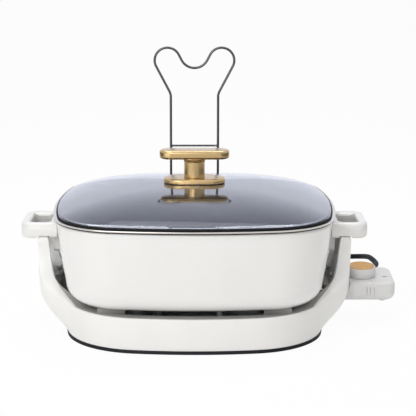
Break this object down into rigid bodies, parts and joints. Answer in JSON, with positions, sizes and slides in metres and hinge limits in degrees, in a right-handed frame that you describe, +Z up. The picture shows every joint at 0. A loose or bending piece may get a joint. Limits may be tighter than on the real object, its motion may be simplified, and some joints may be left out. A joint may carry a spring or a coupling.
{
  "type": "electric skillet",
  "caption": "Countertop electric skillet: rounded-square pan in a cradle base with arms, lift-off domed glass lid with knob, wire lid holder, plug-in dial control and cord.",
  "frame": {"origin": "centre of the base's footprint on the counter", "axes": "+Z up, +X to the side with the plug-in control, -Y to the front"},
  "size_m": [0.4143, 0.4286, 0.2917],
  "materials": {
    "white_shell": "satin white",
    "white_enamel": "smooth white enamel",
    "white_handle": "satin white",
    "black_rubber": "matte",
    "dark_plastic": "matte",
    "screw_steel": "zinc plated",
    "sheet_metal": "mill sheet",
    "grey_pads": "matte",
    "cast_aluminium": "cast",
    "element_steel": "oxidised sheath",
    "ceramic": "moulded",
    "plated_steel": "nickel plated",
    "wire_sleeve": "woven sleeve",
    "lid_glass": "clear tempered",
    "rim_steel": "polished band",
    "satin_gold": "satin gold",
    "dial_gold": "brushed gold",
    "grey_silicone": "matte",
    "chrome_wire": "bright",
    "control_plastic": "satin pale grey",
    "brass_parts": "plain",
    "bimetal": "rolled strip",
    "lamp_red": "translucent",
    "lens_smoke": "smoked",
    "cord_black": "smooth jacket",
    "tie_plastic": "matte"
  },
  "bodies": {
    "base": {"cradle_shell": "white_shell", "foot_ring": "black_rubber", "bottom_cover": "dark_plastic", "bottom_screws": "screw_steel", "left_arm_cover": "white_shell", "right_arm_cover": "white_shell", "arm_cover_screws": "screw_steel", "shield_standoffs": "screw_steel", "heat_shield": "sheet_metal", "pan_support_pads": "grey_pads", "plate_posts": "screw_steel", "heating_plate": "cast_aluminium", "heating_element": "element_steel", "element_clips": "sheet_metal", "thermal_fuse": "ceramic", "probe_cup": "cast_aluminium", "inlet_socket": "ceramic", "terminal_pins": "plated_steel", "internal_wires": "wire_sleeve", "holder_socket": "white_shell", "holder_socket_screws": "screw_steel"},
    "pan": {"pan_body": "white_enamel", "left_handle": "white_handle", "right_handle": "white_handle", "handle_studs": "screw_steel", "handle_screws": "screw_steel"},
    "lid": {"lid_glass": "lid_glass", "lid_rim": "rim_steel", "knob": "satin_gold", "knob_flange": "satin_gold", "knob_gasket": "grey_silicone", "knob_washer": "grey_silicone", "knob_screw": "screw_steel"},
    "lid_holder": {"lid_holder_wire": "chrome_wire", "lid_holder_crossbar": "chrome_wire"},
    "control": {"control_top": "control_plastic", "control_base": "control_plastic", "control_screws": "screw_steel", "contact_block": "ceramic", "contact_sleeves": "brass_parts", "probe_rod": "plated_steel", "thermostat_frame": "sheet_metal", "bimetal_blade": "bimetal", "contact_blades": "brass_parts", "indicator_lamp": "lamp_red", "indicator_lens": "lens_smoke", "strain_relief": "black_rubber", "cord_lead": "cord_black", "cord_coil": "cord_black", "cord_tie": "tie_plastic", "plug_body": "black_rubber", "plug_blades": "brass_parts"},
    "dial": {"dial_ring": "control_plastic", "dial_cap": "dial_gold", "dial_shaft": "plated_steel"}
  },
  "joints": [
    {"name": "pan_lift", "type": "slide", "parent": "base", "child": "pan", "axis": [0, 0, 1], "range_m": [0, 0.15]},
    {"name": "lid_lift", "type": "slide", "parent": "pan", "child": "lid", "axis": [0, 0, 1], "range_m": [0, 0.12]},
    {"name": "holder_lift", "type": "slide", "parent": "base", "child": "lid_holder", "axis": [0, 0, 1], "range_m": [0, 0.06]},
    {"name": "control_pull", "type": "slide", "parent": "base", "child": "control", "axis": [1, 0, 0], "range_m": [0, 0.1]},
    {"name": "dial_turn", "type": "hinge", "parent": "control", "child": "dial", "pos_m": [0.1869, 0, 0.0492], "axis": [0, 0.0872, -0.9962], "range_deg": [0, 270]}
  ]
}
